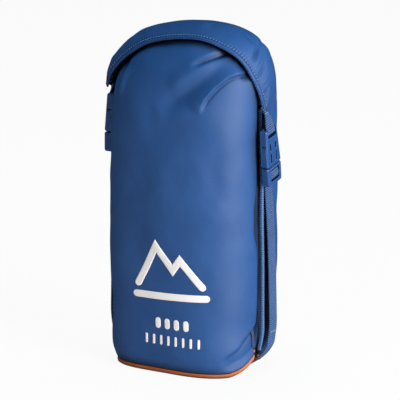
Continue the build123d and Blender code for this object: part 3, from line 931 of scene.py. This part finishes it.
# ---------------------------------------------------------------- packed bivy
def rolled_sheet(name, node, phase):
    """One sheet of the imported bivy: a spiral, drawn out along x into a flat-sided roll, with
    small waves across it and an uneven top. Over the turn angle and the height."""
    low, high = node_mm(node)
    pitch, straight, turns = 5.6, 12.0, 5
    middle = (low[1] + high[1]) / 2
    outer = (high[1] - low[1]) / 2 - 1.6
    angle, share = np.meshgrid(np.linspace(0, turns * 2 * math.pi, 640), np.linspace(0, 1, 44))
    radius = outer - pitch * angle / (2 * math.pi)
    radius = radius + 0.22 * np.sin(share * 23 + angle * 1.7) + 0.12 * np.sin(share * 61 - angle * 3.1)
    c, s = np.cos(angle + phase), np.sin(angle + phase)
    uneven = 1.5 * share**8 * (1 + np.sin(angle * 2.3 + phase))
    z = low[2] + (high[2] - low[2]) * share - uneven
    points = np.stack([radius * c + straight * np.tanh(3 * c), middle + radius * s, z], -1)
    steps = np.linalg.norm(np.diff(points[:1], axis=1), axis=-1)
    run = np.concatenate([[0], np.cumsum(steps)])
    uvs = np.stack([np.broadcast_to(run, z.shape), z], -1)
    piece = grid_piece(name, points, uvs)
    solid(piece, BIVY_THICK, offset=0)
    return piece


# ---------------------------------------------------------------- print
def on_front(x, z):
    """Point and outward normal of the front cloth over (x, z), found by a few Newton steps."""
    across, up = x / 70.0, (z - RIM_H) / 230.0
    step = 2e-3
    for _ in range(7):
        p = front_skin(across, up)
        pa = (front_skin(across + step, up) - p) / step
        pu = (front_skin(across, up + step) - p) / step
        ex, ez = x - p[..., 0], z - p[..., 2]
        det = pa[..., 0] * pu[..., 2] - pu[..., 0] * pa[..., 2]
        across = across + (ex * pu[..., 2] - ez * pu[..., 0]) / det
        up = up + (pa[..., 0] * ez - pa[..., 2] * ex) / det
    return front_skin(across, up), unit(np.cross(pa, pu))


def printed(name, patches):
    """Ink on the front cloth: flat grids of (x, z) laid on the surface, just proud of it."""
    pieces = []
    for k, patch in enumerate(patches):
        point, normal = on_front(patch[..., 0], patch[..., 1])
        normal = normal * -np.sign(normal[..., 1:2])
        pieces.append(grid_piece(f"{name}_{k}", point + normal * INK_PROUD, patch))
    piece = join(name, pieces)
    merge_and_fix(piece)
    outward_front(piece)
    solid(piece, INK_THICK)
    return piece


def outward_front(piece):
    """Turn a thin front piece's faces towards -Y."""
    with edited(piece) as work:
        work.normal_update()
        bmesh.ops.reverse_faces(work, faces=[f for f in work.faces if f.normal.y > 0])


def stroke_patch(a, b, width, rows=40, cols=7):
    """Straight stroke from a to b with round ends, as a grid of (x, z)."""
    a, b = np.array(a, float), np.array(b, float)
    length = np.linalg.norm(b - a)
    d = (b - a) / length
    n = np.array([-d[1], d[0]])
    r = width / 2
    turn = np.linspace(0, math.pi / 2, 7)
    middle = np.linspace(0, length, rows)
    s = np.concatenate([-r * np.cos(turn[:-1]), middle, length + r * np.sin(turn[1:])])
    inside = np.clip(np.maximum(-s, s - length), 0, r)
    half = np.sqrt(np.maximum(r * r - inside**2, (0.02 * r) ** 2))
    t = np.linspace(-1, 1, cols)
    return a + d * s[:, None, None] + n * (half[:, None] * t[None, :])[..., None]


def ribbon_patch(corners, width, rows=30, cols=7):
    """Stroke through several corners, mitred at each and rounded at both ends, as a grid of (x, z)."""
    p = np.asarray(corners, float)
    way = unit(np.diff(p, axis=0))
    side = np.stack([-way[:, 1], way[:, 0]], 1)
    mitre = (side[:-1] + side[1:]) / (1 + (side[:-1] * side[1:]).sum(1, keepdims=True))
    mitre = np.concatenate([side[:1], mitre, side[-1:]])
    t = np.linspace(0, 1, rows)[None, :, None]
    centre = (p[:-1, None] * (1 - t) + p[1:, None] * t).reshape(-1, 2)
    across = (mitre[:-1, None] * (1 - t) + mitre[1:, None] * t).reshape(-1, 2) * width / 2
    turn = np.linspace(0, math.pi / 2, 7)[1:, None]
    r = width / 2
    start = p[0] - way[0] * r * np.sin(turn), side[0] * r * np.maximum(np.cos(turn), 0.02)
    end = p[-1] + way[-1] * r * np.sin(turn), side[-1] * r * np.maximum(np.cos(turn), 0.02)
    centre = np.concatenate([start[0][::-1], centre, end[0]])
    across = np.concatenate([start[1][::-1], across, end[1]])
    return centre[:, None] + across[:, None] * np.linspace(-1, 1, cols)[None, :, None]


def tilt(points, centre, degrees):
    """Turn (x, z) points about a centre."""
    angle = math.radians(degrees)
    c, s = math.cos(angle), math.sin(angle)
    p = np.asarray(points, float) - centre
    return np.stack([p[..., 0] * c - p[..., 1] * s, p[..., 0] * s + p[..., 1] * c], -1) + centre


def print_emblem():
    """Two peaks over a ground line."""
    low, high = node_mm("front_print_emblem")
    left, right = low[0], high[0]
    foot, top = low[2] + 8.0, high[2] - 2.0
    stroke = 5.0
    span = right - left
    peaks = [
        (left + 5, foot + 3), (left + 0.36 * span, top - 1), (left + 0.56 * span, foot + 14),
        (left + 0.66 * span, top - 10), (right - 5, foot + 3),
    ]
    ground = stroke_patch((left + 3, foot - 5), (right - 3, foot - 5), stroke, rows=70)
    centre = ((left + right) / 2, (low[2] + high[2]) / 2)
    return printed("emblem_print", [tilt(p, centre, 2.0) for p in (ribbon_patch(peaks, stroke), ground)])


def print_bars():
    """A short thick row over a long thin row of plain bars."""
    low, high = node_mm("front_print_bars")
    left, right = low[0], high[0]
    thick = (left + right) / 2 + np.linspace(-10.5, 10.5, 4)
    thin = np.linspace(left + 1.6, right - 1.6, 8)
    patches = [stroke_patch((x, high[2] - 5.6), (x, high[2] - 1.8), 3.8, rows=8) for x in thick]
    patches += [stroke_patch((x, low[2] + 0.9), (x, low[2] + 6.1), 1.7, rows=8) for x in thin]
    return printed("bars_print", patches)


# ---------------------------------------------------------------- materials
def srgb(r, g, b):
    """Linear colour from 0-255 display values."""
    v = np.array([r, g, b]) / 255.0
    linear = np.where(v <= 0.04045, v / 12.92, ((v + 0.055) / 1.055) ** 2.4)
    return (*linear.tolist(), 1.0)


def feed(tree, socket, value):
    """Link an output to a socket, or set the socket's own value."""
    if isinstance(value, bpy.types.NodeSocket):
        tree.links.new(value, socket)
    else:
        socket.default_value = value


def math_node(tree, operation, *terms):
    """Math node fed by outputs or numbers; returns its output."""
    node = tree.nodes.new("ShaderNodeMath")
    node.operation = operation
    for socket, value in zip(node.inputs, terms):
        feed(tree, socket, value)
    return node.outputs[0]


def mix_colours(tree, factor, first, second, blend="MIX"):
    """Colour between two, or another blend of them, by a factor."""
    node = tree.nodes.new("ShaderNodeMix")
    node.data_type = "RGBA"
    node.blend_type = blend
    for name, value in (("Factor", factor), ("A", first), ("B", second)):
        feed(tree, node.inputs[name], value)
    return node.outputs["Result"]


def group_tree(name, inputs, outputs):
    """Empty node group with named inputs (name: kind) and float outputs; returns it with both ends."""
    group = bpy.data.node_groups.new(name, "ShaderNodeTree")
    for label, kind in inputs.items():
        group.interface.new_socket(label, in_out="INPUT", socket_type=f"NodeSocket{kind}")
    for label in outputs:
        group.interface.new_socket(label, in_out="OUTPUT", socket_type="NodeSocketFloat")
    return group, group.nodes.new("NodeGroupInput").outputs, group.nodes.new("NodeGroupOutput").inputs


def use_group(tree, group, values):
    """Place a node group in a tree, with its inputs' values by name."""
    node = tree.nodes.new("ShaderNodeGroup")
    node.node_tree = group
    for name, value in values.items():
        feed(tree, node.inputs[name], value)
    return node.outputs


def weave_group():
    """Woven cloth from a map in millimetres: threads over and under, as a height and a shade.
    The height is a product of two sines across each other, with a slanting sine added."""
    inputs = {"Map": "Vector", "Threads per mm": "Float", "Diagonal": "Float"}
    group, given, out = group_tree("woven_threads", inputs, ("Height", "Shade"))
    split = group.nodes.new("ShaderNodeSeparateXYZ")
    group.links.new(given["Map"], split.inputs[0])
    rate = math_node(group, "MULTIPLY", given["Threads per mm"], 2 * math.pi)
    warp, weft = (
        math_node(group, "SINE", math_node(group, "MULTIPLY", split.outputs[k], rate)) for k in (0, 1)
    )
    slant = math_node(group, "ADD", split.outputs[0], split.outputs[1])
    slant = math_node(group, "MULTIPLY", slant, math_node(group, "MULTIPLY", rate, 0.5))
    lean = math_node(group, "MULTIPLY", math_node(group, "SINE", slant), given["Diagonal"])
    height = math_node(group, "ADD", math_node(group, "MULTIPLY", warp, weft), lean)
    group.links.new(height, out["Height"])
    group.links.new(math_node(group, "MULTIPLY_ADD", height, 0.5, 0.5), out["Shade"])
    return group


def painted_crevice_shade(tree, colour, reach, depth):
    """Painted shade: darken a colour where the surface is shut in within a reach in millimetres,
    as in a seam or under a fold, found by an ambient occlusion node."""
    shut = tree.nodes.new("ShaderNodeAmbientOcclusion")
    shut.samples = 8
    shut.inputs["Distance"].default_value = reach * MM
    openness = math_node(tree, "POWER", shut.outputs["AO"], 1.8)
    open_part = math_node(tree, "MULTIPLY_ADD", openness, depth, 1 - depth)
    return mix_colours(tree, 1.0, colour, open_part, "MULTIPLY")


def wear_group():
    """Uneven dye and handling: broad soft patches and fine specks, on Object coordinates."""
    group, given, out = group_tree("uneven_dye", {"Patch size": "Float"}, ("Tone", "Speck"))
    where = group.nodes.new("ShaderNodeTexCoord").outputs["Object"]
    for label, scale, detail in (("Tone", given["Patch size"], 3.0), ("Speck", 900.0, 2.0)):
        noise = group.nodes.new("ShaderNodeTexNoise")
        noise.inputs["Detail"].default_value = detail
        feed(group, noise.inputs["Scale"], scale)
        group.links.new(where, noise.inputs["Vector"])
        group.links.new(noise.outputs["Fac"], out[label])
    return group


WEAVE = weave_group()
WEAR = wear_group()


def start_material(name, roughness, specular=0.4, sheen=0.0, sheen_rough=0.5):
    """Material with a Principled shader; returns the material, its tree and the shader."""
    material = bpy.data.materials.new(name)
    material.use_nodes = True
    tree = material.node_tree
    shader = tree.nodes["Principled BSDF"]
    shader.inputs["Roughness"].default_value = roughness
    shader.inputs["Specular IOR Level"].default_value = specular
    shader.inputs["Sheen Weight"].default_value = sheen
    shader.inputs["Sheen Roughness"].default_value = sheen_rough
    return material, tree, shader


def bump(tree, shader, height, strength, distance):
    """Feed a height into the shader's normal."""
    node = tree.nodes.new("ShaderNodeBump")
    node.inputs["Strength"].default_value = strength
    node.inputs["Distance"].default_value = distance
    tree.links.new(height, node.inputs["Height"])
    tree.links.new(node.outputs["Normal"], shader.inputs["Normal"])


def cloth_map(tree):
    """The piece's own map, in millimetres."""
    node = tree.nodes.new("ShaderNodeUVMap")
    node.uv_map = "cloth"
    return node.outputs["UV"]


def woven(name, dark, light, threads, diagonal, roughness, sheen, strength):
    """Woven cloth: threads, uneven dye, fine specks and painted shade where the cloth is shut in."""
    material, tree, shader = start_material(name, roughness, 0.62, sheen, 0.45)
    values = {"Map": cloth_map(tree), "Threads per mm": threads, "Diagonal": diagonal}
    weave = use_group(tree, WEAVE, values)
    dye = use_group(tree, WEAR, {"Patch size": 26.0})
    tone = math_node(tree, "MULTIPLY", dye["Tone"], 0.55)
    tone = math_node(tree, "MULTIPLY_ADD", weave["Shade"], 0.30, tone)
    tone = math_node(tree, "MULTIPLY_ADD", dye["Speck"], 0.15, tone)
    # painted shade: the cloth's colour is darkened in seams, under the lip and under folds
    colour = painted_crevice_shade(tree, mix_colours(tree, tone, dark, light), 10.0, 0.9)
    tree.links.new(colour, shader.inputs["Base Color"])
    rough = math_node(tree, "MULTIPLY_ADD", dye["Tone"], 0.12, roughness - 0.06)
    tree.links.new(rough, shader.inputs["Roughness"])
    bump(tree, shader, weave["Height"], strength, 0.12 * MM)
    return material


def ribbed(name, dark, light, pitch):
    """Webbing: ribs across its length, one every pitch millimetres, and finer columns along it, with
    painted shade where it is shut in.
    """
    material, tree, shader = start_material(name, 0.55, 0.4, 0.05)
    split = tree.nodes.new("ShaderNodeSeparateXYZ")
    tree.links.new(cloth_map(tree), split.inputs[0])
    column, rib = (
        math_node(tree, "SINE", math_node(tree, "MULTIPLY", split.outputs[k], 2 * math.pi / size))
        for k, size in ((0, 1.15), (1, pitch))
    )
    height = math_node(tree, "MULTIPLY_ADD", column, 0.45, rib)
    dye = use_group(tree, WEAR, {"Patch size": 60.0})
    tone = math_node(tree, "MULTIPLY_ADD", height, 0.34, 0.28)
    tone = math_node(tree, "MULTIPLY_ADD", dye["Tone"], 0.3, tone)
    # painted shade: the webbing's colour is darkened where it is shut in
    colour = painted_crevice_shade(tree, mix_colours(tree, tone, dark, light), 5.0, 0.6)
    tree.links.new(colour, shader.inputs["Base Color"])
    bump(tree, shader, height, 0.9, 0.30 * MM)
    return material


def plastic(name, colour, worn, edge, roughness=0.34):
    """Moulded plastic: satin, very fine grain, a painted highlight along its edges and painted shade in
    its slits.
    An edge is where a bevelled normal leaves the true one."""
    material, tree, shader = start_material(name, roughness, 0.5)
    dye = use_group(tree, WEAR, {"Patch size": 120.0})
    body = mix_colours(tree, dye["Tone"], colour, worn)
    bevel = tree.nodes.new("ShaderNodeBevel")
    bevel.samples = 6
    bevel.inputs["Radius"].default_value = 0.5 * MM
    true = tree.nodes.new("ShaderNodeNewGeometry")
    agree = tree.nodes.new("ShaderNodeVectorMath")
    agree.operation = "DOT_PRODUCT"
    tree.links.new(bevel.outputs["Normal"], agree.inputs[0])
    tree.links.new(true.outputs["Normal"], agree.inputs[1])
    # painted highlight: the colour turns towards the edge colour along the edges
    painted_edge_highlight = math_node(tree, "MULTIPLY", math_node(tree, "SUBTRACT", 1.0, agree.outputs["Value"]), 7.0)
    painted_edge_highlight.node.use_clamp = True
    colour = mix_colours(tree, math_node(tree, "MULTIPLY", painted_edge_highlight, 0.7), body, edge)
    # painted shade: the colour is darkened in the slits and hollows
    tree.links.new(painted_crevice_shade(tree, colour, 3.0, 0.75), shader.inputs["Base Color"])
    rough = math_node(tree, "MULTIPLY_ADD", dye["Speck"], 0.14, roughness - 0.07)
    tree.links.new(rough, shader.inputs["Roughness"])
    bump(tree, shader, dye["Speck"], 0.25, 0.08 * MM)
    return material


def ink(name):
    """Screen print over the weave: pale, with the threads just showing through."""
    material, tree, shader = start_material(name, 0.62, 0.3)
    values = {"Map": cloth_map(tree), "Threads per mm": 1.6, "Diagonal": 0.2}
    weave = use_group(tree, WEAVE, values)
    colour = mix_colours(tree, weave["Shade"], srgb(232, 228, 226), srgb(250, 247, 246))
    tree.links.new(colour, shader.inputs["Base Color"])
    bump(tree, shader, weave["Height"], 0.25, 0.06 * MM)
    return material


def thread(name, dark, light):
    """Twisted thread."""
    material, tree, shader = start_material(name, 0.5, 0.4, 0.2)
    where = tree.nodes.new("ShaderNodeTexCoord")
    wave = tree.nodes.new("ShaderNodeTexWave")
    wave.inputs["Scale"].default_value = 700.0
    wave.bands_direction = "DIAGONAL"
    tree.links.new(where.outputs["Object"], wave.inputs["Vector"])
    tree.links.new(mix_colours(tree, wave.outputs["Fac"], dark, light), shader.inputs["Base Color"])
    bump(tree, shader, wave.outputs["Fac"], 0.5, 0.10 * MM)
    return material


def dress(piece, material):
    """Give a piece one material."""
    piece.data.materials.clear()
    piece.data.materials.append(material)


SHELL = woven("shell_cloth", srgb(16, 60, 116), srgb(36, 92, 158), 0.80, 0.20, 0.54, 0.0, 0.5)
BASE = woven("base_cloth_orange", srgb(196, 88, 16), srgb(234, 124, 34), 1.2, 0.1, 0.6, 0.2, 0.6)
TAPE = ribbed("binding_tape", srgb(58, 100, 158), srgb(108, 148, 204), 1.3)
WEBBING = ribbed("webbing_ribbed", srgb(12, 38, 86), srgb(90, 134, 196), 1.5)
THREAD = thread("sewing_thread", srgb(62, 104, 164), srgb(104, 146, 200))
# the buckle's last colour is its painted edge highlight
BUCKLE = plastic("buckle_plastic", srgb(26, 64, 120), srgb(40, 84, 144), srgb(120, 160, 214))
STRIP = plastic("stiffener_strip", srgb(190, 196, 205), srgb(208, 212, 220), srgb(226, 228, 232))
INK = ink("print_ink")
BIVY_UPPER = woven("bivy_upper_cloth", srgb(200, 90, 30), srgb(226, 116, 50), 1.2, 0.1, 0.5, 0.1, 0.4)
BIVY_FLOOR = woven("bivy_floor_cloth", srgb(48, 52, 58), srgb(70, 75, 82), 1.2, 0.1, 0.6, 0.1, 0.4)


# ---------------------------------------------------------------- assembly
def place(piece, body, material, slot, *nodes):
    """Finish a piece: its material, the body it rides on and the nodes it stands for, which are hidden;
    the slot is not used.
    """
    dress(piece, material)
    if body:
        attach(piece, body)
    if nodes:
        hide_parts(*nodes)
    return piece


def stretch(piece, material, slot, start, end, *nodes):
    """Finish a piece that reaches from the sack to the collar."""
    dress(piece, material)
    if nodes:
        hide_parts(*nodes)
    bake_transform(piece)
    return piece


stretch(front_cloth(), SHELL, "shell_fabric", 145, 190, "front_panel")
stretch(back_cloth(), SHELL, "shell_fabric", 145, 190, "back_panel")
place(base_cloth(), "sack", BASE, "base_fabric", "base_panel")
place(hood_cloth(), "collar", SHELL, "shell_fabric", "collar_roll")
place(lip_hem(), "collar", SHELL, "shell_fabric", "collar_hem")
turns = [
    hood_layer("roll_turn_a", (1.55, 2.86), (1.5, 2.5)),
    hood_layer("roll_turn_b", (1.6, 2.8), (3.6, 4.6)),
]
place(join("roll_inner_turns", turns), "collar", SHELL, "shell_fabric", "collar_inner_turns")
strip = hood_layer("mouth_strip", (1.8, 2.7), (2.65, 3.45))
place(strip, "collar", STRIP, "stiffener_plastic", "mouth_stiffener")
place(roll_end_tacks(), "collar", THREAD, "thread", "roll_end_bartacks")
place(webbing_tacks(), "sack", THREAD, "thread", "strap_bartacks")
place(base_seam_tape(), "sack", TAPE, "binding_tape", "base_seam_binding")
place(hem_stitches(), "collar", THREAD, "thread", "hem_stitching")
stretch(long_webbing(), WEBBING, "webbing", 84, 128, "left_side_strap", "under_strap", "right_side_strap")
for side, sign in (("left", -1), ("right", 1)):
    stretch(seam_fin(sign, f"{side}_seam_fin"), TAPE, "binding_tape", 145, 190, f"{side}_seam_binding")
    stretch(seam_stitches(sign, f"{side}_seam_stitches"), THREAD, "thread", 145, 190)
    place(plug_loop(side), f"{side}_plug", WEBBING, "webbing", f"{side}_strap_loop")
    place(roll_end_strap(side), "collar", WEBBING, "webbing", f"{side}_upper_strap")
    for part in ("buckle_socket", "buckle_plug", "front_prong", "rear_prong"):
        dress(frame["nodes"][f"{side}_{part}"], BUCKLE)
place(print_emblem(), "sack", INK, "print_ink", "front_print_emblem")
place(print_bars(), "sack", INK, "print_ink", "front_print_bars")
for part, phase, cloth in (("upper", 0.0, BIVY_UPPER), ("floor", math.pi, BIVY_FLOOR)):
    sheet = rolled_sheet(f"rolled_{part}", f"bivy_{part}_sheet", phase)
    place(sheet, "sack", cloth, f"bivy_{part}_fabric", f"bivy_{part}_sheet")


# ---------------------------------------------------------------- studio
def shader_mix(tree, chosen_by, otherwise, chosen):
    """Blend of two shaders: the second where the factor is 1."""
    node = tree.nodes.new("ShaderNodeMixShader")
    for socket, output in zip(node.inputs, (chosen_by, otherwise, chosen)):
        tree.links.new(output, socket)
    return node.outputs[0]


def studio_floor():
    """Pale floor, 6 m square."""
    half = 3000.0
    corners = [(-half, -half, 0), (half, -half, 0), (half, half, 0), (-half, half, 0)]
    floor = new_piece("studio_floor", corners, [(0, 1, 2, 3)])
    material, tree, shader = start_material("studio_floor", 0.9, 0.1)
    shader.inputs["Base Color"].default_value = (0.9, 0.9, 0.9, 1)
    glow = tree.nodes.new("ShaderNodeEmission")
    seen = tree.nodes.new("ShaderNodeLightPath").outputs["Is Camera Ray"]
    pale = math_node(tree, "MULTIPLY", seen, 0.92)
    surface = shader_mix(tree, pale, shader.outputs[0], glow.outputs[0])
    tree.links.new(surface, tree.nodes["Material Output"].inputs["Surface"])
    dress(floor, material)
    floor.visible_glossy = False


def soft_light(name, place_at, aim, size, power, mirrored=True):
    """Square soft light at a place, aimed at a point; mirrored says if it is seen in reflections."""
    data = bpy.data.lights.new(name, "AREA")
    data.shape = "SQUARE"
    data.size = size
    data.energy = power
    lamp = bpy.data.objects.new(name, data)
    bpy.context.scene.collection.objects.link(lamp)
    lamp.location = place_at
    lamp.visible_glossy = mirrored
    direction = Vector(aim) - Vector(place_at)
    lamp.rotation_euler = direction.to_track_quat("-Z", "Y").to_euler()


def studio_world():
    """White surroundings, gentle as a light, dim in reflections and bright to the eye."""
    world = bpy.data.worlds.new("studio")
    bpy.context.scene.world = world
    world.use_nodes = True
    tree = world.node_tree
    tree.nodes.remove(tree.nodes["Background"])

    def white(strength):
        """Even white background of a strength."""
        node = tree.nodes.new("ShaderNodeBackground")
        node.inputs["Color"].default_value = (1, 1, 1, 1)
        node.inputs["Strength"].default_value = strength
        return node.outputs[0]

    ray = tree.nodes.new("ShaderNodeLightPath").outputs
    unseen = shader_mix(tree, ray["Is Glossy Ray"], white(0.105), white(0.04))
    surface = shader_mix(tree, ray["Is Camera Ray"], unseen, white(1.0))
    tree.links.new(surface, tree.nodes["World Output"].inputs["Surface"])


def camera():
    """Long lens from the front right, a little above. It shows a width of 0.2742 m at the sack."""
    azimuth, elevation = math.radians(30), math.radians(16)
    lens, sensor, shown = 400.0, 36.0, 0.2742
    aim_right, aim_up = 0.004455, 0.109664
    data = bpy.data.cameras.new("camera")
    data.lens = lens
    data.clip_end = 20
    view = bpy.data.objects.new("camera", data)
    bpy.context.scene.collection.objects.link(view)
    level = math.cos(elevation)
    toward = np.array([math.sin(azimuth) * level, -math.cos(azimuth) * level, math.sin(elevation)])
    right = np.array([math.cos(azimuth), math.sin(azimuth), 0])
    aim = right * aim_right + np.cross(toward, right) * aim_up
    view.location = aim + toward * shown * lens / sensor
    view.rotation_euler = (math.pi / 2 - elevation, 0, azimuth)
    bpy.context.scene.camera = view


studio_floor()
studio_world()
soft_light("key", (1.92, -0.50, 0.60), (0, 0, 0.12), 0.9, 55)
soft_light("fill", (-0.6, -1.9, 0.7), (0, 0, 0.12), 1.2, 5.4, mirrored=False)
soft_light("top", (-0.1, 0.15, 1.8), (0, 0, 0.15), 0.9, 14, mirrored=False)
camera()

bpy.context.scene.view_settings.view_transform = "Standard"
